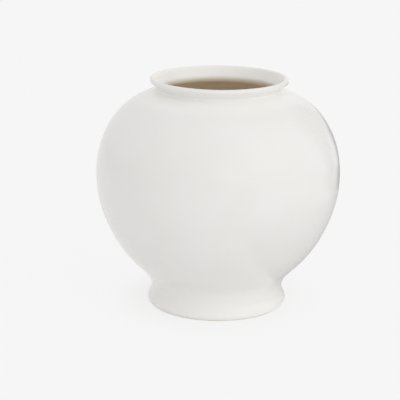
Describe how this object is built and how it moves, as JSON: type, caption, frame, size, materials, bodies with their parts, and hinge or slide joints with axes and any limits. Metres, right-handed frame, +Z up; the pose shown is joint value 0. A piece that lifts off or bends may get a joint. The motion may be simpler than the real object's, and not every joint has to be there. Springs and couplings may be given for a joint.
{
  "type": "moon jar",
  "caption": "Round white-glazed jar, wide at the belly, with a flared lip and a low flared foot ring; stands free and holds or displays things.",
  "frame": {"origin": "middle of the standing face, at the bottom centre of the jar", "axes": "+Z up along the jar's axis; X and Y level and alike, because the jar is round"},
  "size_m": [0.2646, 0.2646, 0.25],
  "materials": {
    "bare_clay": "matt, fired, slightly gritty",
    "slip": "matt, fired",
    "white_glaze": "satin",
    "cream_glaze": "satin"
  },
  "bodies": {
    "root": {"foot_ring": "bare_clay", "foot_slip": "slip", "lower_bowl": "bare_clay", "belly_slip": "slip", "seam_coil": "bare_clay", "upper_bowl": "bare_clay", "neck_slip": "slip", "neck_ring": "bare_clay", "outer_glaze": "white_glaze", "liner_glaze": "cream_glaze", "base_glaze": "white_glaze"}
  },
  "joints": []
}
